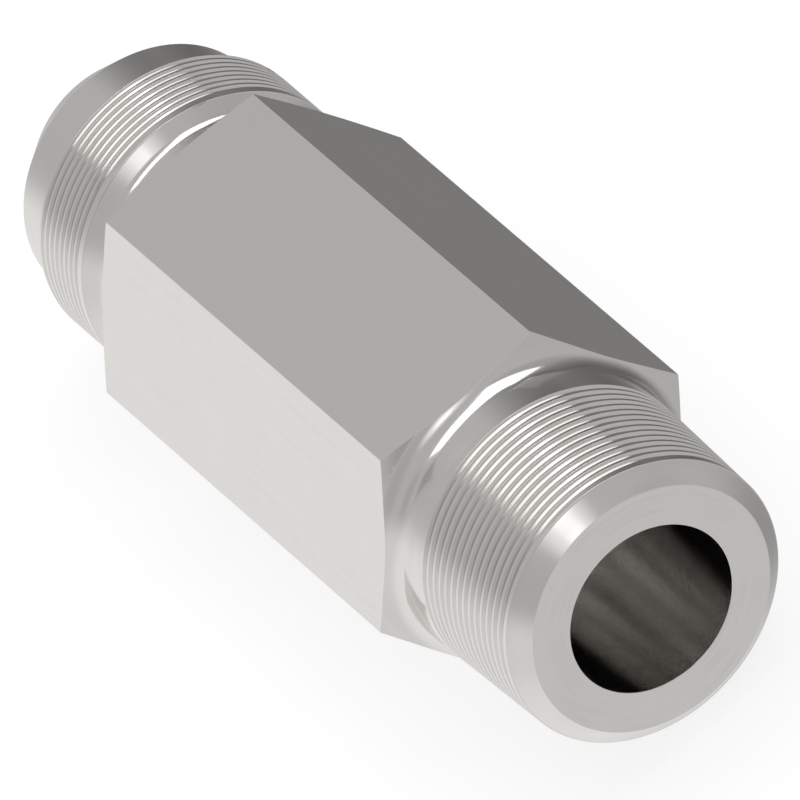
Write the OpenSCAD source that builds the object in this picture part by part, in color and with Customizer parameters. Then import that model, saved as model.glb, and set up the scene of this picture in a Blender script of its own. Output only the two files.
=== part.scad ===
// Straight hydraulic adapter: taper pipe thread at one end, 37 degree flare cone and straight
// thread at the other, a long hexagon between them. One turned and milled piece.
// Frame: +X along the bore axis towards the pipe end, +Z across two flats, origin on the axis
// halfway along the hexagon's corner edges. The piece lies on the flat at the bottom.

/* [Hexagon] */
// Hexagon size across two opposite flats
hex_af = 28.575; // [28.2:0.025:29.4]
// Length of the hexagon's corner edges
hex_len = 46; // [30:0.5:70]
// Slope of the hexagon's turned ends, measured from the end plane, in degrees
hex_slope = 15; // [8:1:20]

/* [Bore] */
// Diameter of the straight bore
bore_d = 15.47; // [12:0.01:16.4]

/* [Pipe end] */
// Length from the hexagon's corner edges to the pipe end face
pipe_len = 20.04; // [18:0.02:24]
// Diameter over the crests of the taper, carried down to the end face
pipe_d = 26.03; // [25.9:0.01:26.1]
// Growth of the taper's diameter for each millimetre of length
pipe_taper = 0.0625; // [0.05:0.0005:0.066]
// Diameter of the flat end face where its chamfer begins
pipe_face_d = 22.78; // [21:0.02:24]
// Distance from the end face to the first crest
pipe_start = 1.5; // [1.3:0.01:1.7]
// Height of the first crest's edge above the chamfer
pipe_edge = 0.12; // [0.05:0.01:0.3]
// Distance from the end face to the first groove
pipe_groove = 2.03; // [1.9:0.01:2.2]
// Spacing of the taper's grooves
pipe_pitch = 0.92; // [0.86:0.005:1]
// Number of grooves on the taper
pipe_count = 14; // [8:1:14]
// Flat left on each crest of the taper
pipe_crest = 0.28; // [0.2:0.01:0.4]

/* [Flare end] */
// Length from the hexagon's corner edges to the start of the straight thread
flare_start = 5.68; // [5:0.02:8]
// Length of the straight thread
flare_run = 7.13; // [7.04:0.01:9]
// Diameter of the straight thread over the crests
flare_d = 26.99; // [26.9:0.01:27.1]
// Height of the thread's first edge above its lead
flare_edge = 0.09; // [0.05:0.01:0.2]
// Distance from the start of the straight thread to its first groove
flare_groove = 0.73; // [0.5:0.01:0.82]
// Spacing of the straight thread's grooves
flare_pitch = 0.814; // [0.76:0.002:0.826]
// Number of grooves on the straight thread
flare_count = 8; // [4:1:8]
// Flat left on each crest of the straight thread
flare_crest = 0.27; // [0.2:0.01:0.4]
// Diameter of the smooth nose beyond the thread
nose_d = 24.12; // [22.6:0.02:25]
// Length from the end of the thread to the edge of the cone
nose_len = 5.23; // [2.4:0.01:8]
// Half angle of the flare cone, in degrees
cone_angle = 37; // [30:0.5:45]
// Diameter of the narrow end face of the cone
tip_d = 17.04; // [16.6:0.02:20]

/* [Necks] */
// Radius of the hollow between the hexagon and each neck
hollow_r = 2.2; // [1:0.05:2.3]
// Diameter of the relief between the hexagon and the straight thread
relief_d = 24.34; // [24:0.02:25]
// Radius of the hollow between the relief and the thread's lead
lead_r = 1.1; // [0.6:0.05:1.4]
// Slope of the leads at both ends of the straight thread, measured from the axis, in degrees
lead_angle = 45; // [42:1:50]

/* [Grooves] */
// Included angle of the grooves, in degrees
groove_angle = 60; // [50:1:75]
// Flat left at the bottom of each groove
groove_root = 0.06; // [0.04:0.01:0.1]

/* [Hidden] */
$fn = 96;
slant = tan(groove_angle / 2);
corner_q = hex_af / 2 / cos(30);
hex_half = hex_len / 2;
flare_q = flare_d / 2;
relief_q = relief_d / 2;
edge_q = flare_q - flare_edge;
nose_q = nose_d / 2;
end_x = hex_half + pipe_len;
thread_x = -(hex_half + flare_start);
edge_x = thread_x + flare_edge * slant;
nose_x = thread_x - flare_run;
cone_x = nose_x - nose_len;
tip_x = cone_x - (nose_d - tip_d) / 2 / tan(cone_angle);
pipe_end = pipe_groove + pipe_count * pipe_pitch;
lead_t = lead_r * tan(lead_angle / 2);
lead_x = edge_x + (edge_q - relief_q) / tan(lead_angle);
past = 1;
// Axial place of the hexagon's turned end at distance q from the axis
function slope_x(q) = hex_half + (corner_q - q) * tan(hex_slope);
// Crest radius of the taper at distance s from the end face
function pipe_q(s) = (pipe_d + s * pipe_taper) / 2;
// Width of a groove at its mouth, and depth of its bottom
function mouth(pitch, crest) = pitch - crest;
function depth(pitch, crest) = (mouth(pitch, crest) - groove_root) / 2 / slant;
// Where the hollow beside a neck of radius q meets the turned end, and the place of its centre
function hollow_q(q) = q + hollow_r * (1 - sin(hex_slope));
function hollow_x(q) = slope_x(hollow_q(q)) + hollow_r * cos(hex_slope);
// The pipe side's neck carries on straight from the taper's last crest
neck_q = pipe_q(pipe_end);

// Corners of the taper's grooves in order from the end face, as [distance from the axis, place]
pipe_points = [
    for (k = [0:pipe_count - 1])
        let (
            s = pipe_groove + k * pipe_pitch,
            m = mouth(pipe_pitch, pipe_crest),
            b = (m - groove_root) / 2,
            d = depth(pipe_pitch, pipe_crest)
        )
        each [
            [pipe_q(s), end_x - s],
            [pipe_q(s + b) - d, end_x - s - b],
            [pipe_q(s + m - b) - d, end_x - s - m + b],
            [pipe_q(s + m), end_x - s - m]
        ]
];

// Corners of the straight thread's grooves in order towards the cone
flare_points = [
    for (k = [0:flare_count - 1])
        let (
            x = thread_x - flare_groove - k * flare_pitch,
            m = mouth(flare_pitch, flare_crest),
            b = (m - groove_root) / 2,
            d = depth(flare_pitch, flare_crest)
        )
        each [
            [flare_q, x],
            [flare_q - d, x - b],
            [flare_q - d, x - m + b],
            [flare_q, x - m]
        ]
];

// Half section turned about the axis, with room at the hexagon for its corners
module turned_section() {
    points = concat(
        [
            [0, end_x],
            [pipe_face_d / 2, end_x],
            [pipe_q(pipe_start) - pipe_edge, end_x - pipe_start + pipe_edge * slant],
            [pipe_q(pipe_start), end_x - pipe_start]
        ],
        pipe_points,
        [
            [neck_q, end_x - pipe_end],
            [neck_q, hollow_x(neck_q)],
            [hollow_q(neck_q), slope_x(hollow_q(neck_q))],
            [corner_q + past, slope_x(corner_q + past)],
            [corner_q + past, -slope_x(corner_q + past)],
            [hollow_q(relief_q), -slope_x(hollow_q(relief_q))],
            [relief_q, -hollow_x(relief_q)],
            [relief_q, lead_x + lead_t],
            [relief_q + lead_t * sin(lead_angle), lead_x - lead_t * cos(lead_angle)],
            [edge_q, edge_x],
            [flare_q, thread_x]
        ],
        flare_points,
        [
            [flare_q, nose_x],
            [nose_q, nose_x - (flare_q - nose_q) / tan(lead_angle)],
            [nose_q, cone_x],
            [tip_d / 2, tip_x],
            [0, tip_x]
        ]
    );
    difference() {
        polygon(points);
        translate([neck_q + hollow_r, hollow_x(neck_q)]) circle(r = hollow_r);
        translate([relief_q + hollow_r, -hollow_x(relief_q)]) circle(r = hollow_r);
        translate([relief_q + lead_r, lead_x + lead_t]) circle(r = lead_r);
    }
}

// Hexagonal bar that leaves the six flats and passes outside both turned ends
module hexagon_bar() {
    rotate([90, 0, 0])
        rotate([0, 90, 0])
            cylinder(h = 4 * end_x, r = corner_q, center = true, $fn = 6);
}

module adapter_body() color([0.72, 0.71, 0.69])
    difference() {
        intersection() {
            rotate([0, 90, 0]) rotate_extrude() turned_section();
            hexagon_bar();
        }
        rotate([0, 90, 0]) cylinder(h = 4 * end_x, d = bore_d, center = true);
    }

adapter_body();
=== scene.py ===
"""A straight hydraulic adapter fitting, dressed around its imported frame.

One machined piece: taper pipe thread, long wrench hexagon, straight thread, smooth nose, flare cone
and through bore. Lengths are in metres. +X runs along the bore towards the pipe end, +Z across two
flats, and the piece lies on the flat at the bottom. In names, x is a place along the axis and q a
distance from it.
"""

import logging
import math
from collections.abc import Callable
from dataclasses import dataclass, field
from enum import Enum

import bpy
import numpy as np
from mathutils import Matrix, Vector


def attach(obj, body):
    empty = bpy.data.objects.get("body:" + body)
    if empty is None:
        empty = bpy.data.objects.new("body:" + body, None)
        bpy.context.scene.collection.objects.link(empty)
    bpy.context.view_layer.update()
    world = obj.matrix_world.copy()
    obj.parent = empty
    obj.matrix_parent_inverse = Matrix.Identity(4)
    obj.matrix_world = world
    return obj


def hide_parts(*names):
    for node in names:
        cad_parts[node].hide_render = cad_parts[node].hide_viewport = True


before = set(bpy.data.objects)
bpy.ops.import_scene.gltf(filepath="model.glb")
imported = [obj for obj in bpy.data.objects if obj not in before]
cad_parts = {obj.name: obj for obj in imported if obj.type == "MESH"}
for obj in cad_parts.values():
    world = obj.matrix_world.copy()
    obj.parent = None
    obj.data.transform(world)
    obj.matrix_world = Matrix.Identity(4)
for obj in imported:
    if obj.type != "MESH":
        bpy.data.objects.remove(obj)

MM = 0.001
NODE = "adapter_body"
BODY = "root"
EDGE = "edge"
# Number of the hexagon's sides, the angle that each takes up round the axis, and half of it
SIDES = 6
SIDE = math.tau / SIDES
HALF_SIDE = SIDE / 2
# Length of a stretch that only gives an outline's first or last drawn corner its direction
GUIDE = 1 * MM

logging.basicConfig(level=logging.INFO, format="%(levelname)s %(message)s")
log = logging.getLogger("adapter")


class Zone(Enum):
    """The finishes on the piece, by the order of their material slots."""

    TURNED = 0
    THREAD = 1
    FLAT = 2
    BORE = 3


@dataclass(frozen=True)
class Sizes:
    """Driving sizes of the fitting, the same as the frame's own.

    Attributes:
        hex_af: The hexagon's size across two opposite flats.
        hex_len: Length of its corner edges.
        hex_slope: Slope of its turned ends, from the end plane.
        bore_d: Diameter of the bore.
        pipe_len: Length from the corner edges to the pipe end's face.
        pipe_d: Diameter over the taper's crests, carried down to the end face.
        pipe_taper: Growth of that diameter for each unit of length.
        pipe_face_d: Diameter of the flat end face.
        pipe_start: Distance from the end face to the first crest.
        pipe_edge: Height of the first crest's edge above the chamfer.
        pipe_groove: Distance from the end face to the first groove.
        pipe_pitch: Spacing of the taper's grooves.
        pipe_count: Number of them.
        pipe_crest: Flat left on each of its crests.
        flare_start: Length from the corner edges to the straight thread.
        flare_run: Length of the straight thread.
        flare_d: Diameter over its crests.
        flare_edge: Height of its first edge above its lead.
        flare_groove: Distance from its start to its first groove.
        flare_pitch: Spacing of its grooves.
        flare_count: Number of them.
        flare_crest: Flat left on each of its crests.
        nose_d: Diameter of the smooth nose.
        nose_len: Length from the end of the thread to the edge of the cone.
        cone_angle: Half angle of the flare cone.
        tip_d: Diameter of its narrow end face.
        hollow_r: Radius of the hollows beside the hexagon.
        relief_d: Diameter of the relief between the hexagon and the straight thread.
        lead_r: Radius of the hollow between the relief and the thread's lead.
        lead_angle: Slope of the leads at both ends of the straight thread, from the axis.
        groove_angle: Included angle of the grooves.
        groove_root: Flat left at the bottom of each groove.
    """

    hex_af: float = 28.575 * MM
    hex_len: float = 46 * MM
    hex_slope: float = math.radians(15)
    bore_d: float = 15.47 * MM
    pipe_len: float = 20.04 * MM
    pipe_d: float = 26.03 * MM
    pipe_taper: float = 0.0625
    pipe_face_d: float = 22.78 * MM
    pipe_start: float = 1.5 * MM
    pipe_edge: float = 0.12 * MM
    pipe_groove: float = 2.03 * MM
    pipe_pitch: float = 0.92 * MM
    pipe_count: int = 14
    pipe_crest: float = 0.28 * MM
    flare_start: float = 5.68 * MM
    flare_run: float = 7.13 * MM
    flare_d: float = 26.99 * MM
    flare_edge: float = 0.09 * MM
    flare_groove: float = 0.73 * MM
    flare_pitch: float = 0.814 * MM
    flare_count: int = 8
    flare_crest: float = 0.27 * MM
    nose_d: float = 24.12 * MM
    nose_len: float = 5.23 * MM
    cone_angle: float = math.radians(37)
    tip_d: float = 17.04 * MM
    hollow_r: float = 2.2 * MM
    relief_d: float = 24.34 * MM
    lead_r: float = 1.1 * MM
    lead_angle: float = math.radians(45)
    groove_angle: float = math.radians(60)
    groove_root: float = 0.06 * MM

    @property
    def slant(self) -> float:
        """Axial run of a groove's side for each unit of depth."""
        return math.tan(self.groove_angle / 2)

    @property
    def half(self) -> float:
        """Half the length of the hexagon's corner edges."""
        return self.hex_len / 2

    @property
    def corner_q(self) -> float:
        """Distance from the axis to the hexagon's sharp corners."""
        return self.hex_af / 2 / math.cos(HALF_SIDE)

    @property
    def end_x(self) -> float:
        """Place of the pipe end's face."""
        return self.half + self.pipe_len

    @property
    def thread_x(self) -> float:
        """Place where the straight thread starts beside the hexagon."""
        return -(self.half + self.flare_start)

    @property
    def nose_x(self) -> float:
        """Place where the straight thread's crest ends at the nose."""
        return self.thread_x - self.flare_run

    @property
    def cone_x(self) -> float:
        """Place of the edge between nose and cone."""
        return self.nose_x - self.nose_len

    @property
    def tip_x(self) -> float:
        """Place of the cone's narrow end face."""
        return self.cone_x - (self.nose_d - self.tip_d) / 2 / math.tan(self.cone_angle)

    @property
    def pipe_end(self) -> float:
        """Length from the pipe end's face to the neck."""
        return self.pipe_groove + self.pipe_count * self.pipe_pitch

    def pipe_q(self, s: float) -> float:
        """Crest radius of the taper at distance s from the end face."""
        return (self.pipe_d + min(s, self.pipe_end) * self.pipe_taper) / 2

    def slope_x(self, q: float) -> float:
        """Axial place of the hexagon's turned end at distance q from the axis."""
        return self.half + (self.corner_q - q) * math.tan(self.hex_slope)

    def hollow_x(self, q: float) -> float:
        """Axial place of the centre of the hollow beside a neck of radius q."""
        meet = q + self.hollow_r * (1 - math.sin(self.hex_slope))
        return self.slope_x(meet) + self.hollow_r * math.cos(self.hex_slope)


@dataclass(frozen=True)
class Rounding:
    """How far the edges are rounded, and in how many steps the hollow at the thread's lead is drawn.

    Attributes:
        corner: The hexagon's corner edges.
        shoulder: The edges between its flats and its turned ends.
        crest: The edges of the threads' crests.
        root: The bottoms of the threads' grooves.
        lip: The first edges of both threads.
        rim: The edges of the nose, the cone, the end face and the bore.
        foot: The foot of the slant between nose and thread.
        lip_steps: Steps in each of those first edges.
        hollow_steps: Steps in the hollow at the lead.
    """

    corner: float = 0.08 * MM
    shoulder: float = 0.004 * MM
    crest: float = 0.03 * MM
    root: float = 0.04 * MM
    lip: float = 0.04 * MM
    rim: float = 0.06 * MM
    foot: float = 0.18 * MM
    lip_steps: int = 2
    hollow_steps: int = 14


class MeshMaker:
    """Collects vertices with their exact normals, and faces with their finish.

    Attributes:
        points: Places of the vertices, in the groups in which they came.
        normals: Directions of the surface there, of unit length.
        edges: How much of a worked edge lies there, from 0 to 1.
        faces: Each face's vertex numbers.
        zones: The number of each face's finish.
        count: How many vertices there are.
    """

    def __init__(self) -> None:
        """Starts with nothing in it."""
        self.points: list[np.ndarray] = []
        self.normals: list[np.ndarray] = []
        self.edges: list[np.ndarray] = []
        self.faces: list[tuple[int, ...]] = []
        self.zones: list[int] = []
        self.count = 0

    def add(self, points: np.ndarray, normals: np.ndarray, edge: float | np.ndarray = 0.0) -> np.ndarray:
        """Adds vertices.

        Args:
            points: Places, one row for each vertex.
            normals: Directions of the surface there, of any length.
            edge: How much of a worked edge lies there, from 0 to 1.

        Returns:
            The vertices' numbers.
        """
        size = len(points)
        self.points.append(points)
        self.normals.append(normals / np.linalg.norm(normals, axis=1)[:, None])
        self.edges.append(np.broadcast_to(np.asarray(edge, float), (size,)))
        self.count += size
        return np.arange(self.count - size, self.count)

    def face(self, corners: tuple[int, ...], zone: Zone) -> None:
        """Adds a face, without the corners that fall on each other.

        Args:
            corners: Vertex numbers in order round the face.
            zone: The face's finish.
        """
        kept = [c for k, c in enumerate(corners) if c != corners[k - 1]]
        if len(kept) > 2:
            self.faces.append(tuple(kept))
            self.zones.append(zone.value)

    def band(self, low: np.ndarray, high: np.ndarray, zone: Zone) -> None:
        """Joins two rings of as many vertices.

        Args:
            low: The ring that comes first along the outline.
            high: The ring that comes next.
            zone: The band's finish.
        """
        for c in range(len(low)):
            n = (c + 1) % len(low)
            self.face((int(low[c]), int(low[n]), int(high[n]), int(high[c])), zone)

    def bands(self, rings: list[np.ndarray], zone: Zone) -> None:
        """Joins each ring to the next, in their order along the outline."""
        for low, high in zip(rings, rings[1:]):
            self.band(low, high, zone)

    def build(self, name: str) -> bpy.types.Object:
        """Makes the mesh object with its own normals and its edge attribute.

        Args:
            name: The object's name.

        Returns:
            The new object, linked to the scene.
        """
        used = np.unique(np.concatenate([np.array(face) for face in self.faces]))
        order = np.zeros(self.count, int)
        order[used] = np.arange(len(used))
        faces = [tuple(order[list(face)].tolist()) for face in self.faces]
        mesh = bpy.data.meshes.new(name)
        mesh.from_pydata(np.concatenate(self.points)[used].tolist(), [], faces)
        mesh.polygons.foreach_set("use_smooth", [True] * len(faces))
        mesh.polygons.foreach_set("material_index", self.zones)
        worn = mesh.attributes.new(EDGE, "FLOAT", "POINT")
        worn.data.foreach_set("value", np.concatenate(self.edges)[used].astype(np.float32))
        mesh.normals_split_custom_set_from_vertices(np.concatenate(self.normals)[used].tolist())
        mesh.update()
        piece = bpy.data.objects.new(name, mesh)
        bpy.context.scene.collection.objects.link(piece)
        return piece


@dataclass(frozen=True)
class Corner:
    """A corner of the turned outline.

    Attributes:
        x: Its place along the axis.
        q: Its distance from the axis.
        radius: Radius of its round.
        steps: Steps in which the round is drawn.
    """

    x: float
    q: float
    radius: float = 0.0
    steps: int = 3


@dataclass(frozen=True)
class Spot:
    """A point of a drawn outline.

    Attributes:
        x: Its place along the axis.
        q: Its distance from the axis.
        nx: The surface's direction there, along the axis.
        nq: The same, away from the axis.
        edge: How much of a worked edge lies there, from 0 to 1.
    """

    x: float
    q: float
    nx: float
    nq: float
    edge: float = 0.0


def rounded(corners: list[Corner]) -> list[Spot]:
    """Draws an outline through corners, with a tangent round at each but the first and last.

    Args:
        corners: The outline's corners, with the solid on the right of the way.

    Returns:
        The outline's points. The first and last corners are left out.
    """
    spots: list[Spot] = []
    for before, here, after in zip(corners, corners[1:], corners[2:]):
        point = Vector((here.x, here.q))
        way_in = (point - Vector((before.x, before.q))).normalized()
        way_out = (Vector((after.x, after.q)) - point).normalized()
        turn = math.atan2(way_in.cross(way_out), way_in.dot(way_out))
        reach = here.radius * math.tan(abs(turn) / 2)
        side = math.copysign(1, turn)
        centre = point - way_in * reach + Vector((-way_in.y, way_in.x)) * here.radius * side
        convex = turn < 0
        for k in range(here.steps + 1):
            angle = math.atan2(way_in.y, way_in.x) + turn * k / here.steps
            out = Vector((-math.sin(angle), math.cos(angle)))
            spot = centre - out * here.radius * side
            edge = math.sin(math.pi * k / here.steps) if convex else 0.0
            spots.append(Spot(spot.x, spot.y, out.x, out.y, edge))
    return spots


class Columns:
    """Angles round the axis at which every ring has a vertex, closer together at the hexagon's corners.

    Attributes:
        angle: Each column's angle, from +Y towards +Z.
        hex_q: The hexagon's distance from the axis there.
        flat_angle: The angle that the hexagon's surface faces there.
        edge: How much of a worked edge lies on the hexagon there, from 0 to 1.
        turn: Share of a turn made since the seam.
        number: How many columns there are.
        out: Each column's direction away from the axis.
        along: Its direction round the axis.
        flat: The direction that the hexagon's surface faces there.
    """

    def __init__(
        self, sizes: Sizes, rounding: Rounding, seam: float, between: int = 22, fan: int = 4
    ) -> None:
        """Works out the columns.

        Args:
            sizes: The fitting's sizes.
            rounding: The rounding of its edges.
            seam: Angle at which the threads' turns are counted from.
            between: Columns between the rounds of two corners.
            fan: Steps in the round of one corner.
        """
        apothem = sizes.hex_af / 2
        # A corner's round has its centre on the line from the axis to the corner, this far out
        heart = sizes.corner_q - rounding.corner / math.cos(HALF_SIDE)
        reach_y = heart + rounding.corner * math.cos(HALF_SIDE)
        last = math.atan2(rounding.corner * math.sin(HALF_SIDE), reach_y)
        # Each column's angle, the hexagon's distance there, the angle it faces and its share of edge
        found = []
        for k in range(SIDES):
            corner = SIDE * k
            for step in range(fan + 1):
                share = 2 * step / fan - 1
                turn = HALF_SIDE * share
                y = heart + rounding.corner * math.cos(turn)
                z = rounding.corner * math.sin(turn)
                edge = math.cos(math.pi / 2 * share)
                found.append((corner + math.atan2(z, y), math.hypot(y, z), corner + turn, edge))
            for step in range(1, between + 1):
                angle = last + (SIDE - 2 * last) * step / (between + 1)
                flat_q = apothem / math.cos(angle - HALF_SIDE)
                found.append((corner + angle, flat_q, corner + HALF_SIDE, 0.0))
        found.sort(key=lambda item: (item[0] - seam) % math.tau)
        table = np.array(found)
        self.angle = table[:, 0]
        self.hex_q = table[:, 1]
        self.flat_angle = table[:, 2]
        self.edge = np.clip(table[:, 3], 0, 1)
        self.turn = ((self.angle - seam) % math.tau) / math.tau
        self.number = len(found)
        self.out = np.stack([np.zeros(self.number), np.cos(self.angle), np.sin(self.angle)], 1)
        self.along = np.stack([np.zeros(self.number), -np.sin(self.angle), np.cos(self.angle)], 1)
        self.flat = np.stack([np.zeros(self.number), np.cos(self.flat_angle), np.sin(self.flat_angle)], 1)

    def places(self, x: float | np.ndarray, q: float | np.ndarray) -> np.ndarray:
        """Finds one place on each column.

        Args:
            x: Axial place, for all columns or for each.
            q: Distance from the axis, for all columns or for each.

        Returns:
            The places, one row for each column.
        """
        points = self.out * np.broadcast_to(np.asarray(q, float), (self.number,))[:, None]
        points[:, 0] = x
        return points

    def directions(self, nx: float | np.ndarray, nq: float | np.ndarray) -> np.ndarray:
        """Finds one direction on each column.

        Args:
            nx: Its axial part, for all columns or for each.
            nq: Its radial part, for all columns or for each.

        Returns:
            The directions, one row for each column.
        """
        normals = self.out * np.broadcast_to(np.asarray(nq, float), (self.number,))[:, None]
        normals[:, 0] = nx
        return normals


@dataclass
class Thread:
    """A helical thread, whose turns lie over the frame's rings where the seam is opposite.

    Attributes:
        sizes: The fitting's sizes.
        rounding: The rounding of its edges.
        last: Place of the last groove's high edge, half a turn from the seam.
        pitch: Advance for each turn.
        count: Number of turns.
        crest: Flat left on the crest.
        crest_q: Crest radius at an axial place.
        low: Axial place where the band begins.
        high: Axial place where the band ends.
        fade_low: Turns over which the groove grows at the low end, 0 for a groove that runs out.
        fade_high: Turns over which it shrinks at the high end.
        grade: Growth of the crest radius along X.
        touch: Length under which two places are one.
        spare: Turns drawn beyond each end, for the ends to be cut from.
        cut_edge: Share of edge where a cone cuts the low end.
    """

    sizes: Sizes
    rounding: Rounding
    last: float
    pitch: float
    count: int
    crest: float
    crest_q: Callable[[float], float]
    low: float
    high: float
    fade_low: float = 0.2
    fade_high: float = 0.2
    grade: float = 0.0
    touch: float = 1e-6 * MM
    spare: int = 2
    cut_edge: float = 0.5

    @property
    def start(self) -> float:
        """Place of the first groove's low edge, half a turn from the seam."""
        return self.last - self.count * self.pitch + self.crest

    def shape(self) -> list[tuple[float, float, float, float]]:
        """Draws one groove and its crest.

        Returns:
            Its points, as (way from the groove's low edge, depth, slope, share of edge).
        """
        mouth = self.pitch - self.crest
        wall = (mouth - self.sizes.groove_root) / 2
        deep = wall / self.sizes.slant
        corners = [
            Corner(-self.crest, 0),
            Corner(0, 0, self.rounding.crest),
            Corner(wall, -deep, self.rounding.root),
            Corner(mouth - wall, -deep, self.rounding.root),
            Corner(mouth, 0, self.rounding.crest),
            Corner(mouth + self.crest, 0),
        ]
        spots = rounded(corners)
        middle = Spot(-self.crest / 2, 0, 0, 1)
        return [(spot.x, -spot.q, spot.nx / spot.nq, spot.edge) for spot in [middle, *spots]]

    def rows(self) -> list[tuple[int, float, float, float, float]]:
        """Every row of the band, as (turn number, way, depth, slope, share of edge)."""
        unit = self.shape()
        return [(k, *item) for k in range(-self.spare, self.count + self.spare) for item in unit]

    def share(self, turns: np.ndarray) -> np.ndarray:
        """Finds how much of its full depth the groove has.

        Args:
            turns: Turns made since the thread's start.

        Returns:
            The share of the depth after each, from 0 to 1.
        """

        def ease(v: np.ndarray) -> np.ndarray:
            """Smooth step from 0 to 1."""
            v = np.clip(v, 0, 1)
            return v * v * (3 - 2 * v)

        grown = ease(turns / self.fade_low) if self.fade_low else np.ones_like(turns)
        return grown * ease((self.count - turns) / self.fade_high)

    def surface(self, columns: Columns) -> tuple[np.ndarray, np.ndarray, np.ndarray, np.ndarray]:
        """Lays the rows along the helix.

        Args:
            columns: The angles of the vertices.

        Returns:
            Axial place, radius, groove slope and share of edge of each row on each column.
        """
        rows = self.rows()
        xs = np.zeros((len(rows), columns.number))
        qs, slopes, edges = np.zeros_like(xs), np.zeros_like(xs), np.zeros_like(xs)
        for j, (k, way, depth, slope, edge) in enumerate(rows):
            xs[j] = self.start + self.pitch * (k + columns.turn - 0.5) + way
            part = self.share(k + columns.turn)
            qs[j] = [self.crest_q(x) for x in xs[j]] - part * depth
            slopes[j] = part * slope
            edges[j] = part * edge
        return xs, qs, slopes, edges

    def cut(
        self, xs: np.ndarray, qs: np.ndarray, ramp: Callable[[np.ndarray], np.ndarray]
    ) -> tuple[np.ndarray, np.ndarray]:
        """Finds where a cone cuts the band's low end.

        Args:
            xs: Axial place of each row on each column.
            qs: Radius of each row on each column.
            ramp: The cone's radius at an axial place.

        Returns:
            Axial place and radius of the cut on each column.
        """
        width = xs.shape[1]
        low_x, low_q = np.zeros(width), np.zeros(width)
        for c in range(width):
            over = qs[:, c] - ramp(xs[:, c])
            j = int(np.max(np.nonzero(over > 0)[0]))
            share = over[j] / (over[j] - over[j + 1])
            low_x[c] = xs[j, c] + share * (xs[j + 1, c] - xs[j, c])
            low_q[c] = qs[j, c] + share * (qs[j + 1, c] - qs[j, c])
        return low_x, low_q

    def stitch(self, maker: MeshMaker, numbers: np.ndarray) -> None:
        """Adds the faces. At the seam, each turn's last column meets the next turn's first.

        Args:
            maker: Takes the faces.
            numbers: The vertices' numbers, by row and column.
        """
        total, width = numbers.shape
        step = len(self.shape())
        for j in range(total - 1):
            for c in range(width - 1):
                ring = (numbers[j, c], numbers[j, c + 1], numbers[j + 1, c + 1], numbers[j + 1, c])
                maker.face(tuple(int(v) for v in ring), Zone.THREAD)
            if j + step + 1 < total:
                ring = (numbers[j, -1], numbers[j + step, 0], numbers[j + step + 1, 0], numbers[j + 1, -1])
                maker.face(tuple(int(v) for v in ring), Zone.THREAD)

    def weave(
        self, maker: MeshMaker, columns: Columns, ramp: Callable[[np.ndarray], np.ndarray] | None = None
    ) -> tuple[np.ndarray, np.ndarray]:
        """Builds the band.

        Args:
            maker: Takes the vertices and faces.
            columns: The angles of the vertices.
            ramp: Radius of a cone that cuts the low end, at an axial place, if there is one.

        Returns:
            The rings at the low and the high end.
        """
        xs, qs, slopes, edges = self.surface(columns)
        low_x, low_q = self.low, self.crest_q(self.low)
        if ramp is not None:
            low_x, low_q = self.cut(xs, qs, ramp)
        level = columns.directions(-self.grade, 1.0)
        bottom = maker.add(columns.places(low_x, low_q), level, self.cut_edge if ramp else 0.0)
        top = maker.add(columns.places(self.high, self.crest_q(self.high)), level)
        lead = self.pitch / math.tau
        numbers = np.zeros(xs.shape, int)
        for j in range(len(xs)):
            tilt = columns.along * (lead * slopes[j] / qs[j])[:, None]
            normals = columns.directions(slopes[j] - self.grade, 1.0) - tilt
            numbers[j] = maker.add(columns.places(xs[j], qs[j]), normals, edges[j])
            numbers[j] = np.where(xs[j] <= low_x + self.touch, bottom, numbers[j])
            numbers[j] = np.where(xs[j] >= self.high - self.touch, top, numbers[j])
        self.stitch(maker, numbers)
        return bottom, top


# What the input of a node can be set to, or joined to
Value = float | bpy.types.NodeSocket
Color = tuple[float, float, float]


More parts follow.
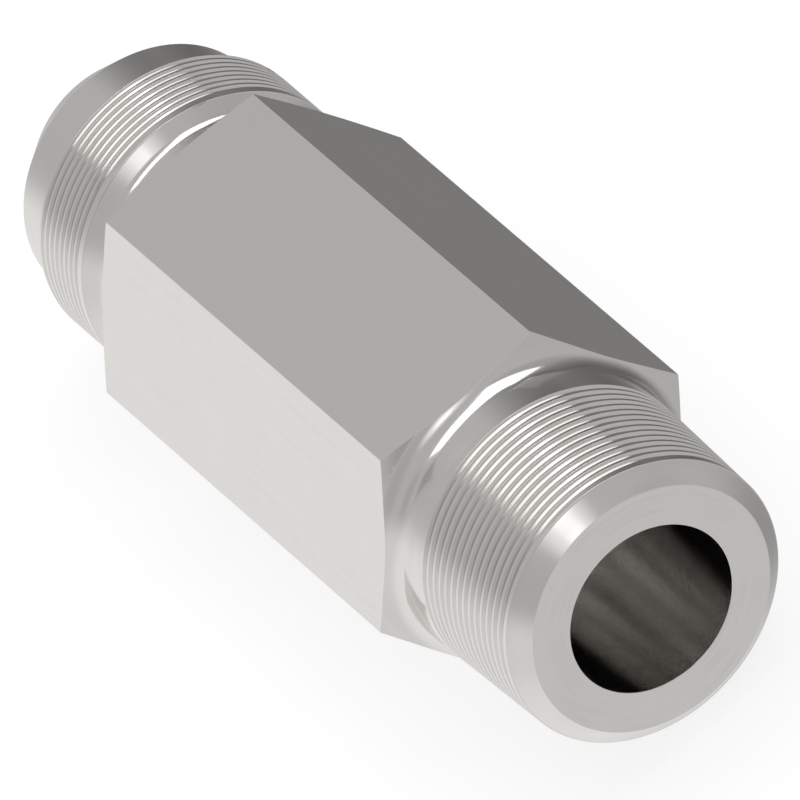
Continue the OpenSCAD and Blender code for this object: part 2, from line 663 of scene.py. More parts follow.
class Graph:
    """Short calls for a node tree.

    Attributes:
        tree: The node tree.
    """

    def __init__(self, tree: bpy.types.NodeTree) -> None:
        """Takes the tree and empties it."""
        self.tree = tree
        tree.nodes.clear()

    def node(self, kind: str, **settings: object) -> bpy.types.Node:
        """Adds a node.

        Args:
            kind: Blender's name of the node.
            settings: The node's own settings, by name.

        Returns:
            The new node.
        """
        made = self.tree.nodes.new(kind)
        for key, value in settings.items():
            setattr(made, key, value)
        return made

    def link(self, source: bpy.types.NodeSocket, target: bpy.types.NodeSocket) -> None:
        """Joins an output to an input."""
        self.tree.links.new(source, target)

    def feed(self, target: bpy.types.NodeSocket, value: Value | Color) -> None:
        """Sets an input, or joins an output to it.

        Args:
            target: The input.
            value: A number, a colour or an output.
        """
        if isinstance(value, bpy.types.NodeSocket):
            self.link(value, target)
        elif isinstance(value, tuple):
            target.default_value = (*value, 1)
        else:
            target.default_value = value

    def math(self, operation: str, *values: Value) -> bpy.types.NodeSocket:
        """Adds a Math node.

        Args:
            operation: Blender's name of the operation.
            values: Its numbers or outputs, in order.

        Returns:
            The node's output.
        """
        made = self.node("ShaderNodeMath", operation=operation)
        for socket, value in zip(made.inputs, values):
            self.feed(socket, value)
        return made.outputs[0]

    def vector(self, *values: Value) -> bpy.types.NodeSocket:
        """Joins three values to a vector.

        Args:
            values: Three numbers or outputs.

        Returns:
            The vector.
        """
        made = self.node("ShaderNodeCombineXYZ")
        for socket, value in zip(made.inputs, values):
            self.feed(socket, value)
        return made.outputs[0]

    def noise(self, place: bpy.types.NodeSocket, detail: float) -> bpy.types.NodeSocket:
        """Adds a noise of unit scale.

        Args:
            place: Where it is read.
            detail: How many finer layers it has.

        Returns:
            Its value, around 0.5.
        """
        made = self.node("ShaderNodeTexNoise")
        made.inputs["Scale"].default_value = 1.0
        made.inputs["Detail"].default_value = detail
        self.link(place, made.inputs["Vector"])
        return made.outputs[0]

    def spread(
        self, value: Value, low: float, high: float, to_low: float, to_high: float
    ) -> bpy.types.NodeSocket:
        """Smoothly maps one range of a value onto another.

        Args:
            value: What is mapped.
            low: Where the mapped range begins.
            high: Where it ends.
            to_low: What comes out at its beginning.
            to_high: What comes out at its end.

        Returns:
            The mapped value.
        """
        made = self.node("ShaderNodeMapRange", interpolation_type="SMOOTHSTEP")
        for socket, item in zip(made.inputs, (value, low, high, to_low, to_high)):
            self.feed(socket, item)
        return made.outputs[0]

    def blend(self, *parts: Value | Color) -> bpy.types.NodeSocket:
        """Mixes two colours.

        Args:
            parts: The share of the second colour, the first colour and the second.

        Returns:
            The mixed colour.
        """
        made = self.node("ShaderNodeMix", data_type="RGBA")
        for socket, part in zip([item for item in made.inputs if item.enabled], parts):
            self.feed(socket, part)
        return next(item for item in made.outputs if item.enabled)


class Effect(Graph):
    """A node group with named inputs and outputs, built once and placed in several materials.

    Attributes:
        given: What the group is given, by name.
        result: What it puts out, by name.
    """

    def __init__(self, name: str, inputs: dict[str, float], outputs: tuple[str, ...]) -> None:
        """Makes the group's sockets.

        Args:
            name: The group's name.
            inputs: Each input's name and starting value.
            outputs: The outputs' names.
        """
        super().__init__(bpy.data.node_groups.new(name, "ShaderNodeTree"))
        for label, value in inputs.items():
            made = self.tree.interface.new_socket(label, in_out="INPUT", socket_type="NodeSocketFloat")
            made.default_value = value
        for label in outputs:
            self.tree.interface.new_socket(label, in_out="OUTPUT", socket_type="NodeSocketFloat")
        self.given = self.node("NodeGroupInput").outputs
        self.result = self.node("NodeGroupOutput").inputs

    def place(self) -> tuple[bpy.types.NodeSocket, ...]:
        """Reads a point's place on the piece.

        Returns:
            Its three parts, in metres.
        """
        parts = self.node("ShaderNodeSeparateXYZ")
        self.link(self.node("ShaderNodeTexCoord").outputs["Object"], parts.inputs[0])
        return tuple(parts.outputs)

    def use(self, graph: Graph, **values: float) -> dict[str, bpy.types.NodeSocket]:
        """Places the group in a material.

        Args:
            graph: The material's nodes.
            values: The group's inputs, by name.

        Returns:
            The group's outputs, by name.
        """
        made = graph.node("ShaderNodeGroup", node_tree=self.tree)
        for label, value in values.items():
            made.inputs[label.capitalize()].default_value = value
        return {item.name: item for item in made.outputs}


class Marks(Enum):
    """The ways in which a tool marks the steel."""

    TURNED = "turned_marks"
    DRAWN = "drawn_marks"


@dataclass
class Effects:
    """The effects that the finishes share.

    Attributes:
        lean_along: How fast the rings' marks change along the axis.
        lean_out: How fast they change away from it, other than along, so that marks don't repeat.
        wide: Scale of the wide marks against the fine ones.
        coarse: Height of the wide marks against the fine ones.
        low: Noise under which nothing shows.
        high: Noise over which all shows.
        gap_low: Noise at which an edge is least burnished.
        gap_high: Noise at which it is fully burnished.
        least: Share of burnish that an edge always has.
        fine_detail: Finer layers of the fine marks.
        wide_detail: Finer layers of the wide marks and of the gaps in the burnish.
        cloud_detail: Finer layers of the cloud.
        marks: The groups for tool marks.
        cloud: The group for patches of tone.
        wear: The group for burnished edges.
    """

    lean_along: float = 0.83
    lean_out: float = 1.31
    wide: float = 0.16
    coarse: float = 0.5
    low: float = 0.3
    high: float = 0.7
    gap_low: float = 0.35
    gap_high: float = 0.6
    least: float = 0.2
    fine_detail: float = 2.0
    wide_detail: float = 3.0
    cloud_detail: float = 4.0
    marks: dict[Marks, Effect] = field(init=False)
    cloud: Effect = field(init=False)
    wear: Effect = field(init=False)

    def __post_init__(self) -> None:
        """Builds each group once."""
        self.marks = {Marks.TURNED: self.turned_marks(), Marks.DRAWN: self.drawn_marks()}
        self.cloud = self.soft_cloud()
        self.wear = self.edge_wear()

    def layers(self, effect: Effect, along: Value, others: tuple[Value, Value]) -> None:
        """Gives an effect its height and its streaks, from fine and wide marks across one coordinate.

        Args:
            effect: The effect, with outputs named Height and Streaks.
            along: The coordinate across the marks, in spacings of the fine ones.
            others: The two coordinates along the marks.
        """
        fine = effect.noise(effect.vector(along, *others), self.fine_detail)
        stretched = effect.math("MULTIPLY", along, self.wide)
        wide = effect.noise(effect.vector(stretched, *others), self.wide_detail)
        effect.link(effect.math("MULTIPLY_ADD", wide, self.coarse, fine), effect.result["Height"])
        effect.link(effect.spread(wide, self.low, self.high, 0.0, 1.0), effect.result["Streaks"])

    def turned_marks(self) -> Effect:
        """Makes the rings left by a lathe tool, on faces, cones and cylinders round the X axis alike.

        Returns:
            The effect.
        """
        effect = Effect(Marks.TURNED.value, {"Spacing": 0.1 * MM, "Waver": 1.0}, ("Height", "Streaks"))
        x, y, z = effect.place()
        square = effect.math("ADD", effect.math("MULTIPLY", y, y), effect.math("MULTIPLY", z, z))
        q = effect.math("SQRT", square)
        outwards = effect.math("MULTIPLY", q, self.lean_out)
        feed = effect.math("MULTIPLY_ADD", x, self.lean_along, outwards)
        across = effect.math("DIVIDE", feed, effect.given["Spacing"])
        round_y = effect.math("MULTIPLY", effect.math("DIVIDE", y, q), effect.given["Waver"])
        round_z = effect.math("MULTIPLY", effect.math("DIVIDE", z, q), effect.given["Waver"])
        self.layers(effect, across, (round_y, round_z))
        return effect

    def drawn_marks(self) -> Effect:
        """Makes the streaks along the X axis, left by the die through which the bar was drawn.

        Returns:
            The effect.
        """
        effect = Effect(Marks.DRAWN.value, {"Spacing": 0.1 * MM, "Waver": 20.0}, ("Height", "Streaks"))
        x, y, z = effect.place()
        along = effect.math("MULTIPLY", x, effect.given["Waver"])
        feed = effect.math("MULTIPLY_ADD", z, self.lean_out, y)
        across = effect.math("DIVIDE", feed, effect.given["Spacing"])
        self.layers(effect, across, (along, along))
        return effect

    def soft_cloud(self) -> Effect:
        """Makes wide soft patches of tone, as on plated steel.

        Returns:
            The effect.
        """
        effect = Effect("soft_cloud", {"Size": 4 * MM}, ("Cloud",))
        parts = [effect.math("DIVIDE", part, effect.given["Size"]) for part in effect.place()]
        patches = effect.noise(effect.vector(*parts), self.cloud_detail)
        effect.link(effect.spread(patches, self.low, self.high, 0.0, 1.0), effect.result["Cloud"])
        return effect

    def edge_wear(self) -> Effect:
        """Makes burnished places along worked edges, broken up along their length.

        Returns:
            The effect.
        """
        effect = Effect("edge_wear", {"Size": 0.8 * MM}, ("Worn",))
        parts = [effect.math("DIVIDE", part, effect.given["Size"]) for part in effect.place()]
        gaps = effect.noise(effect.vector(*parts), self.wide_detail)
        broken = effect.spread(gaps, self.gap_low, self.gap_high, self.least, 1.0)
        edge = effect.node("ShaderNodeAttribute", attribute_name=EDGE).outputs["Fac"]
        effect.link(effect.math("MULTIPLY", edge, broken), effect.result["Worn"])
        return effect


@dataclass(frozen=True)
class Steel:
    """A finish of the bright steel.

    Attributes:
        name: The material's name.
        color: Colour of the clean metal.
        dull: Colour in the streaks.
        bright: Colour where edges are burnished.
        roughness: Roughness of the clean metal.
        marks: How the tool marked it.
        spacing: Distance between fine marks.
        waver: How soon marks change along their length.
        depth: Height of the marks.
        spread: How much the roughness varies.
        polish: How much smoother burnished edges are.
    """

    name: str
    color: Color
    dull: Color
    roughness: float
    marks: Marks
    spacing: float
    waver: float
    depth: float
    bright: Color = (0.82, 0.80, 0.78)
    spread: float = 0.04
    polish: float = 0.04

    def build(self, effects: Effects) -> bpy.types.Material:
        """Makes the material.

        Args:
            effects: The shared node groups.

        Returns:
            The new material.
        """
        made = bpy.data.materials.new(self.name)
        made.use_nodes = True
        graph = Graph(made.node_tree)
        marks = effects.marks[self.marks].use(graph, spacing=self.spacing, waver=self.waver)
        cloud = effects.cloud.use(graph)["Cloud"]
        worn = effects.wear.use(graph)["Worn"]
        tone = graph.math("MULTIPLY", marks["Streaks"], cloud)
        shade = graph.blend(worn, graph.blend(tone, self.color, self.dull), self.bright)
        rough = graph.math("MULTIPLY_ADD", marks["Streaks"], self.spread, self.roughness - self.spread / 2)
        rough = graph.math("MULTIPLY_ADD", cloud, self.spread / 2, rough)
        rough = graph.math("MULTIPLY_ADD", worn, -self.polish, rough)
        bump = graph.node("ShaderNodeBump")
        bump.inputs["Distance"].default_value = self.depth
        graph.link(marks["Height"], bump.inputs["Height"])
        metal = graph.node("ShaderNodeBsdfPrincipled")
        metal.inputs["Metallic"].default_value = 1.0
        graph.link(shade, metal.inputs["Base Color"])
        graph.link(rough, metal.inputs["Roughness"])
        graph.link(bump.outputs["Normal"], metal.inputs["Normal"])
        graph.link(metal.outputs[0], graph.node("ShaderNodeOutputMaterial").inputs["Surface"])
        return made


CLEAN = (0.73, 0.71, 0.69)
DULL = (0.70, 0.68, 0.66)
DRAWN_DULL = (0.715, 0.695, 0.675)
BORED = (0.722, 0.709, 0.694)
BORED_DULL = (0.695, 0.682, 0.667)

FINISHES = {
    Zone.TURNED: Steel(
        "turned_steel", CLEAN, DULL, roughness=0.14,
        marks=Marks.TURNED, spacing=0.10 * MM, waver=1.2, depth=0.0005 * MM,
    ),
    Zone.THREAD: Steel(
        "thread_steel", CLEAN, DULL, roughness=0.10,
        marks=Marks.TURNED, spacing=0.05 * MM, waver=2.5, depth=0.0002 * MM,
    ),
    Zone.FLAT: Steel(
        "drawn_steel", CLEAN, DRAWN_DULL, roughness=0.17,
        marks=Marks.DRAWN, spacing=0.12 * MM, waver=25.0, depth=0.0002 * MM,
    ),
    Zone.BORE: Steel(
        "bored_steel", BORED, BORED_DULL, roughness=0.13,
        marks=Marks.TURNED, spacing=0.16 * MM, waver=1.5, depth=0.0001 * MM,
    ),
}


@dataclass
class AdapterBody:
    """The whole machined piece as one closed mesh.

    Attributes:
        sizes: The fitting's sizes.
        rounding: The rounding of its edges.
        seam: Angle where the threads' turns begin, on the side away from the camera.
        support: Width of the ring that keeps the slant's direction beside the cut thread.
        shoulder_rows: Steps in a hollow and the sloped end beyond it.
        flat_rows: Steps along the flats.
        bore_rows: Steps along the bore.
        edge_steps: Steps in the round between a turned end and the flats.
        columns: The angles of the vertices.
        maker: The mesh, as far as it is built.
    """

    sizes: Sizes = field(default_factory=Sizes)
    rounding: Rounding = field(default_factory=Rounding)
    seam: float = math.radians(-79.1)
    support: float = 0.05 * MM
    shoulder_rows: int = 16
    flat_rows: int = 8
    bore_rows: int = 12
    edge_steps: int = 3
    columns: Columns = field(init=False)
    maker: MeshMaker = field(init=False)

    def __post_init__(self) -> None:
        """Lays out the columns and starts an empty mesh."""
        self.columns = Columns(self.sizes, self.rounding, self.seam)
        self.maker = MeshMaker()

    def build(self) -> bpy.types.Object:
        """Builds the mesh, from the cone's tip along the outside to the pipe end and back down the bore.

        Returns:
            The piece.
        """
        tip, last = self.turned(self.nose())
        low, high = self.flare_thread()
        self.ramp_up(last, low)
        start, last = self.turned(self.relief())
        self.maker.band(high, start, Zone.THREAD)
        start, last_hex = self.hexagon()
        self.maker.band(last, start, Zone.TURNED)
        low, high = self.pipe_thread()
        self.maker.band(last_hex, low, Zone.TURNED)
        start, last = self.turned(self.end_face())
        self.maker.band(high, start, Zone.THREAD)
        self.bore(last, tip)
        return self.maker.build("adapter_body_dressed")

    def nose(self) -> list[Spot]:
        """Draws the outline from the bore's far rim over the cone and the nose to the straight thread.

        Returns:
            The outline's points.
        """
        sizes, rounding = self.sizes, self.rounding
        flare_q, nose_q = sizes.flare_d / 2, sizes.nose_d / 2
        step = (flare_q - nose_q) / math.tan(sizes.lead_angle)
        return rounded([
            Corner(sizes.tip_x + GUIDE, sizes.bore_d / 2),
            Corner(sizes.tip_x, sizes.bore_d / 2, rounding.rim),
            Corner(sizes.tip_x, sizes.tip_d / 2, rounding.rim),
            Corner(sizes.cone_x, nose_q, rounding.rim),
            Corner(sizes.nose_x - step, nose_q, rounding.foot),
            Corner(sizes.nose_x, flare_q),
        ])

    def flare_thread(self) -> tuple[np.ndarray, np.ndarray]:
        """Weaves the straight thread, cut on the slant where it meets the nose.

        Returns:
            The rings at the nose and at the relief.
        """
        sizes, rounding = self.sizes, self.rounding
        flare_q, cut = sizes.flare_d / 2, math.tan(sizes.lead_angle)
        thread = Thread(
            sizes, rounding,
            last=sizes.thread_x - sizes.flare_groove,
            pitch=sizes.flare_pitch, count=sizes.flare_count, crest=sizes.flare_crest,
            crest_q=lambda x: flare_q, fade_low=0.0,
            low=sizes.nose_x, high=sizes.thread_x - rounding.lip,
        )
        return thread.weave(self.maker, self.columns, ramp=lambda x: flare_q - (sizes.nose_x - x) * cut)

    def relief(self) -> list[Spot]:
        """Draws the outline from the straight thread's first edge down its lead to the relief.

        Returns:
            The outline's points.
        """
        sizes, rounding = self.sizes, self.rounding
        flare_q, relief_q = sizes.flare_d / 2, sizes.relief_d / 2
        edge_q = flare_q - sizes.flare_edge
        edge_x = sizes.thread_x + sizes.flare_edge * sizes.slant
        lead_x = edge_x + (edge_q - relief_q) / math.tan(sizes.lead_angle)
        return rounded([
            Corner(sizes.thread_x - GUIDE, flare_q),
            Corner(sizes.thread_x, flare_q, rounding.lip, rounding.lip_steps),
            Corner(edge_x, edge_q, rounding.lip, rounding.lip_steps),
            Corner(lead_x, relief_q, sizes.lead_r, rounding.hollow_steps),
            Corner(-sizes.hollow_x(relief_q), relief_q),
        ])

    def pipe_thread(self) -> tuple[np.ndarray, np.ndarray]:
        """Weaves the taper pipe thread, which runs out at the neck.

        Returns:
            The rings at the neck and at the end face.
        """
        sizes, rounding = self.sizes, self.rounding
        thread = Thread(
            sizes, rounding,
            last=sizes.end_x - sizes.pipe_groove,
            pitch=sizes.pipe_pitch, count=sizes.pipe_count, crest=sizes.pipe_crest,
            crest_q=lambda x: sizes.pipe_q(sizes.end_x - x), grade=-sizes.pipe_taper / 2,
            low=sizes.end_x - sizes.pipe_end - sizes.pipe_pitch / 2,
            high=sizes.end_x - sizes.pipe_start - rounding.lip,
        )
        return thread.weave(self.maker, self.columns)

    def end_face(self) -> list[Spot]:
        """Draws the outline from the pipe thread's first edge over chamfer and end face to the bore.

        Returns:
            The outline's points.
        """
        sizes, rounding = self.sizes, self.rounding
        top_q, start_x = sizes.pipe_q(sizes.pipe_start), sizes.end_x - sizes.pipe_start
        edge_x, edge_q = start_x + sizes.pipe_edge * sizes.slant, top_q - sizes.pipe_edge
        return rounded([
            Corner(start_x - GUIDE, top_q),
            Corner(start_x, top_q, rounding.lip, rounding.lip_steps),
            Corner(edge_x, edge_q, rounding.lip, rounding.lip_steps),
            Corner(sizes.end_x, sizes.pipe_face_d / 2, rounding.rim),
            Corner(sizes.end_x, sizes.bore_d / 2, rounding.rim),
            Corner(sizes.end_x - GUIDE, sizes.bore_d / 2),
        ])

    def turned(self, spots: list[Spot]) -> tuple[np.ndarray, np.ndarray]:
        """Turns an outline into rings.

        Args:
            spots: The outline's points.

        Returns:
            The first and the last ring.
        """
        rings = []
        for spot in spots:
            at = self.columns.places(spot.x, spot.q)
            rings.append(self.maker.add(at, self.columns.directions(spot.nx, spot.nq), spot.edge))
        self.maker.bands(rings, Zone.TURNED)
        return rings[0], rings[-1]

    def ramp_up(self, low: np.ndarray, high: np.ndarray) -> None:
        """Joins the nose to the thread's cut end, with a ring that keeps the slant's own direction.

        Args:
            low: The nose's last ring.
            high: The ring where the thread is cut.
        """
        nx, nq = -math.sin(self.sizes.lead_angle), math.cos(self.sizes.lead_angle)
        ends = np.concatenate(self.maker.points)[high]
        q = np.hypot(ends[:, 1], ends[:, 2]) - self.support * nq
        x = ends[:, 0] + self.support * nx
        ring = self.maker.add(self.columns.places(x, q), self.columns.directions(nx, nq))
        self.maker.bands([low, ring, high], Zone.TURNED)

    def profile(
        self, neck_q: float, way: np.ndarray, arc_end: np.ndarray
    ) -> tuple[np.ndarray, np.ndarray, np.ndarray]:
        """Follows the hollow and then the sloped end, from a neck outwards.

        Args:
            neck_q: Radius of the neck.
            way: Length gone on each column.
            arc_end: Turn at which each column leaves the hollow.

        Returns:
            The place along X as on the pipe side, the distance from the axis, and the turn made.
        """
        radius, slope = self.sizes.hollow_r, self.sizes.hex_slope
        turn = np.minimum(way / radius, arc_end)
        beyond = way - turn * radius
        q = neck_q + radius * (1 - np.cos(turn)) + beyond * math.cos(slope)
        x = self.sizes.hollow_x(neck_q) - radius * np.sin(turn) - beyond * math.sin(slope)
        return x, q, turn

    def shoulder(self, neck_q: float, side: int) -> tuple[list[np.ndarray], np.ndarray]:
        """Builds the hollow and the sloped end beside one neck, and rounds its edge with the flats.

        Args:
            neck_q: Radius of the neck.
            side: 1 for the pipe side and -1 for the flare side.

        Returns:
            The rings from the neck to the flats, and where along X each column has the sharp edge.
        """
        columns = self.columns
        radius, slope = self.sizes.hollow_r, self.sizes.hex_slope
        arc_end = np.arccos(np.clip(1 - (columns.hex_q - neck_q) / radius, -1, 1))
        arc_end = np.minimum(arc_end, math.pi / 2 - slope)
        meet_q = neck_q + radius * (1 - math.sin(slope))
        straight = np.maximum(columns.hex_q - meet_q, 0) / math.cos(slope)
        length = radius * arc_end + straight
        rings = []
        for k in range(self.shoulder_rows + 1):
            way = (length - self.rounding.shoulder) * k / self.shoulder_rows
            x, q, turn = self.profile(neck_q, way, arc_end)
            at = columns.places(side * x, q)
            normals = columns.directions(side * np.sin(turn), np.cos(turn))
            rings.append(self.maker.add(at, normals))
        edge_x = side * self.profile(neck_q, length, arc_end)[0]
        return rings + self.edge_rings(at, normals, edge_x, side), edge_x

    def edge_rings(
        self, begin: np.ndarray, normals: np.ndarray, edge_x: np.ndarray, side: int
    ) -> list[np.ndarray]:
        """Rounds the edge between a turned end and the flats.

        Args:
            begin: The turned end's last places.
            normals: The surface's directions there, of unit length.
            edge_x: Where along X each column has the sharp edge.
            side: 1 for the pipe side and -1 for the flare side.

        Returns:
            The rings, from the turned end to the flats.
        """
        columns = self.columns
        sharp = columns.places(edge_x, columns.hex_q)
        end = columns.places(edge_x - side * self.rounding.shoulder, columns.hex_q)
        rings = []
        for k in range(1, self.edge_steps + 1):
            share = k / self.edge_steps
            at = begin * (1 - share) ** 2 + sharp * 2 * share * (1 - share) + end * share * share
            edge = np.maximum(math.sin(math.pi * share), columns.edge)
            rings.append(self.maker.add(at, normals * (1 - share) + columns.flat * share, edge))
        return rings

    def hexagon(self) -> tuple[np.ndarray, np.ndarray]:
        """Builds the hexagon with both its turned ends.

        Returns:
            The ring at the relief and the ring at the pipe side's neck.
        """
        columns, maker = self.columns, self.maker
        far, far_edge = self.shoulder(self.sizes.relief_d / 2, -1)
        near, near_edge = self.shoulder(self.sizes.pipe_q(self.sizes.pipe_end), 1)
        far_x = far_edge + self.rounding.shoulder
        near_x = near_edge - self.rounding.shoulder
        flats = []
        for k in range(1, self.flat_rows):
            share = k / self.flat_rows
            at = columns.places(far_x * (1 - share) + near_x * share, columns.hex_q)
            flats.append(maker.add(at, columns.flat, columns.edge))
        near.reverse()
        maker.bands(far, Zone.TURNED)
        maker.bands([far[-1], *flats, near[0]], Zone.FLAT)
        maker.bands(near, Zone.TURNED)
        return far[0], near[-1]

    def bore(self, mouth: np.ndarray, tip: np.ndarray) -> None:
        """Builds the bore's wall, from the pipe end back to the cone's tip.

        Args:
            mouth: The ring at the pipe end.
            tip: The ring at the cone's tip.
        """
        begin = self.sizes.end_x - self.rounding.rim
        end = self.sizes.tip_x + self.rounding.rim
        walls = []
        for k in range(1, self.bore_rows):
            x = begin + (end - begin) * k / self.bore_rows
            at = self.columns.places(x, self.sizes.bore_d / 2)
            walls.append(self.maker.add(at, self.columns.directions(0, -1)))
        self.maker.bands([mouth, *walls, tip], Zone.BORE)

    def dress(self, piece: bpy.types.Object, effects: Effects) -> None:
        """Gives the piece its finishes and its place in the frame.

        Args:
            piece: The piece.
            effects: The shared node groups.
        """
        for zone in Zone:
            piece.data.materials.append(FINISHES[zone].build(effects))
        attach(piece, BODY)
        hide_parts(NODE)


def direction(azimuth: float, elevation: float) -> Vector:
    """Unit vector at an angle from +X towards +Y and an angle above the floor, in degrees."""
    turn, rise = math.radians(azimuth), math.radians(elevation)
    return Vector((math.cos(rise) * math.cos(turn), math.cos(rise) * math.sin(turn), math.sin(rise)))


@dataclass(frozen=True)
class Panel:
    """A soft rectangular lamp that faces the piece, with its angles in degrees.

    Attributes:
        name: The lamp's name.
        azimuth: Angle of its place from +X towards +Y.
        elevation: Angle of its place above the floor.
        width: Its shorter side.
        height: Its longer side.
        roll: Its turn in its own plane.
        radiance: How bright it looks, where 1 is white.
        distance: Its distance from the piece.
    """

    name: str
    azimuth: float
    elevation: float
    width: float
    height: float
    roll: float
    radiance: float = 1.5
    distance: float = 1.0

    def build(self) -> bpy.types.Object:
        """Makes the lamp, unseen by the camera.

        Returns:
            The lamp.
        """
        lamp = bpy.data.lights.new(self.name, "AREA")
        lamp.shape = "RECTANGLE"
        lamp.size, lamp.size_y = self.width, self.height
        lamp.energy = self.radiance * math.pi * self.width * self.height
        holder = bpy.data.objects.new(self.name, lamp)
        bpy.context.scene.collection.objects.link(holder)
        way = direction(self.azimuth, self.elevation)
        turn = way.to_track_quat("Z", "Y").to_matrix().to_4x4()
        turn = turn @ Matrix.Rotation(math.radians(self.roll), 4, "Z")
        turn.translation = way * self.distance
        holder.matrix_world = turn
        holder.visible_camera = False
        return holder


@dataclass(frozen=True)
class Lobe:
    """A soft brighter or darker patch of the surroundings, with its angles in degrees.

    Attributes:
        name: Where it lies, seen from the pipe end.
        azimuth: Angle of its middle from +X towards +Y.
        elevation: Angle of its middle above the floor.
        inner: Angle from its middle to where it begins to fade.
        outer: Angle from its middle to where it ends.
        strength: What it adds to the surroundings.
    """

    name: str
    azimuth: float
    elevation: float
    inner: float
    outer: float
    strength: float


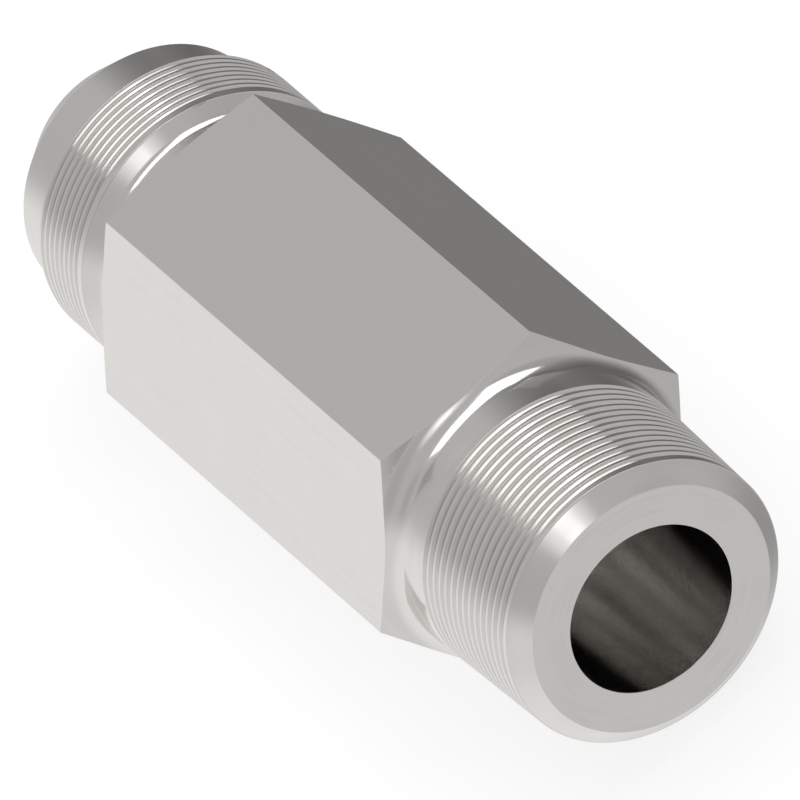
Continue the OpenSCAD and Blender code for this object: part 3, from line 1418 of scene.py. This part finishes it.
@dataclass
class Studio:
    """Camera, lamps, surroundings and floor.

    Attributes:
        right: The picture's way to the right.
        up: The picture's way up.
        back: The way from the piece to the camera.
        field_width: Width of the picture at the piece.
        aim_right: How far to the right of the piece's origin the camera aims.
        aim_up: How far above it the camera aims.
        lens: The camera's lens, in millimetres.
        sensor: The camera's sensor, in millimetres.
        near: Distance at which the camera begins to see.
        far: Distance to which it sees.
        base: How bright the surroundings are, where 1 is white.
        lobes: The brighter and darker patches of the surroundings.
        panels: The lamps.
        paper: Tone of the floor.
        glow: What the floor adds for the camera alone, so that it is white where no shadow falls.
        reach: Half the floor's width.
        mirrors: How often light may be mirrored.
    """

    right: Vector = field(default_factory=lambda: Vector((0.5, 0.75, -0.4330)))
    up: Vector = field(default_factory=lambda: Vector((-0.4330, 0.6495, 0.625)))
    back: Vector = field(default_factory=lambda: Vector((0.75, -0.125, 0.6495)))
    field_width: float = 66.81 * MM
    aim_right: float = 0.724 * MM
    aim_up: float = -1.364 * MM
    lens: float = 1600.0
    sensor: float = 36.0
    near: float = 0.1
    far: float = 100.0
    base: float = 0.565
    lobes: tuple[Lobe, ...] = (
        Lobe("below_left", -91, -51, 55, 75, 0.26),
        Lobe("far_below_left", -128, -39, 26, 61, 0.14),
        Lobe("above_right", 103, 39, 30, 51, -0.12),
        Lobe("far_above_right", 138, 36, 5, 27, -0.09),
        Lobe("right", 122, 1, 5, 54, -0.23),
        Lobe("far_below_right", 136, -36, 0, 60, -0.20),
        Lobe("above_left", -99, 36, 1, 21, -0.08),
        Lobe("front_low", -28, 8, 3, 32, -0.07),
        Lobe("front_high", -6, 43, 0, 19, 0.52),
    )
    panels: tuple[Panel, ...] = (
        Panel("front_panel", -5, 44, 0.20, 0.26, 20, 0.4),
        Panel("top_panel", 91, 58, 0.60, 0.74, 33),
        Panel("back_panel", 174, 73, 0.54, 1.00, 73),
    )
    paper: float = 0.25
    glow: float = 0.80
    reach: float = 3.0
    mirrors: int = 6

    def camera(self) -> bpy.types.Object:
        """Makes the camera, so far off with so long a lens that lines along the piece look parallel.

        Returns:
            The camera.
        """
        data = bpy.data.cameras.new("camera")
        data.lens, data.sensor_width = self.lens, self.sensor
        data.clip_start, data.clip_end = self.near, self.far
        holder = bpy.data.objects.new("camera", data)
        bpy.context.scene.collection.objects.link(holder)
        distance = self.lens / self.sensor * self.field_width
        place = Matrix((self.right, self.up, self.back)).transposed().to_4x4()
        place.translation = self.right * self.aim_right + self.up * self.aim_up + self.back * distance
        holder.matrix_world = place
        bpy.context.scene.camera = holder
        return holder

    def surroundings(self) -> None:
        """Makes the world pale, with soft brighter and darker sides, and white where the camera sees it."""
        world = bpy.data.worlds.new("studio")
        world.use_nodes = True
        bpy.context.scene.world = world
        graph = Graph(world.node_tree)
        way = graph.node("ShaderNodeTexCoord").outputs["Generated"]
        value: Value = self.base
        for lobe in self.lobes:
            dot = graph.node("ShaderNodeVectorMath", operation="DOT_PRODUCT", label=lobe.name)
            graph.link(way, dot.inputs[0])
            dot.inputs[1].default_value = direction(lobe.azimuth, lobe.elevation)
            outer, inner = math.cos(math.radians(lobe.outer)), math.cos(math.radians(lobe.inner))
            patch = graph.spread(dot.outputs["Value"], outer, inner, 0, lobe.strength)
            value = graph.math("ADD", value, patch)
        light, white = (graph.node("ShaderNodeBackground") for _ in range(2))
        for shader in (light, white):
            shader.inputs["Color"].default_value = (1, 1, 1, 1)
        graph.feed(light.inputs["Strength"], value)
        mix = graph.node("ShaderNodeMixShader")
        graph.link(graph.node("ShaderNodeLightPath").outputs["Is Camera Ray"], mix.inputs["Fac"])
        graph.link(light.outputs[0], mix.inputs[1])
        graph.link(white.outputs[0], mix.inputs[2])
        graph.link(mix.outputs[0], graph.node("ShaderNodeOutputWorld").inputs["Surface"])

    def floor(self, height: float) -> bpy.types.Object:
        """Makes the floor.

        Args:
            height: The floor's place below the piece.

        Returns:
            The floor.
        """
        mesh = bpy.data.meshes.new("floor")
        far = self.reach
        corners = [(-far, -far, height), (far, -far, height), (far, far, height), (-far, far, height)]
        mesh.from_pydata(corners, [], [(0, 1, 2, 3)])
        plane = bpy.data.objects.new("floor", mesh)
        bpy.context.scene.collection.objects.link(plane)
        mesh.materials.append(self.floor_finish())
        return plane

    def floor_finish(self) -> bpy.types.Material:
        """Makes the pale matte floor's material, white where no shadow falls, and left out of reflections.

        Returns:
            The material.
        """
        paper = bpy.data.materials.new("pale_floor")
        paper.use_nodes = True
        graph = Graph(paper.node_tree)
        matte = graph.node("ShaderNodeBsdfDiffuse")
        matte.inputs["Color"].default_value = (self.paper, self.paper, self.paper, 1)
        glow = graph.node("ShaderNodeEmission")
        rays = graph.node("ShaderNodeLightPath")
        seen = graph.math("MULTIPLY", rays.outputs["Is Camera Ray"], self.glow)
        graph.feed(glow.inputs["Strength"], seen)
        both = graph.node("ShaderNodeAddShader")
        graph.link(matte.outputs[0], both.inputs[0])
        graph.link(glow.outputs[0], both.inputs[1])
        mix = graph.node("ShaderNodeMixShader")
        graph.link(rays.outputs["Is Glossy Ray"], mix.inputs["Fac"])
        graph.link(both.outputs[0], mix.inputs[1])
        graph.link(graph.node("ShaderNodeBsdfTransparent").outputs[0], mix.inputs[2])
        graph.link(mix.outputs[0], graph.node("ShaderNodeOutputMaterial").inputs["Surface"])
        return paper

    def build(self, height: float) -> None:
        """Makes everything round the piece, and lets light be mirrored often enough to cross the bore.

        Args:
            height: The floor's place below the piece.
        """
        bpy.context.scene.cycles.glossy_bounces = self.mirrors
        self.camera()
        self.surroundings()
        self.floor(height)
        for panel in self.panels:
            panel.build()
            log.info("lamp %s", panel.name)


def main() -> None:
    """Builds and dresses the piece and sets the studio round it."""
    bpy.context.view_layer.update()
    body = AdapterBody()
    piece = body.build()
    body.dress(piece, Effects())
    log.info("%s: %d faces", piece.name, len(piece.data.polygons))
    Studio().build(-body.sizes.hex_af / 2)
    bpy.context.scene.view_settings.view_transform = "Standard"


if __name__ == "__main__":
    main()
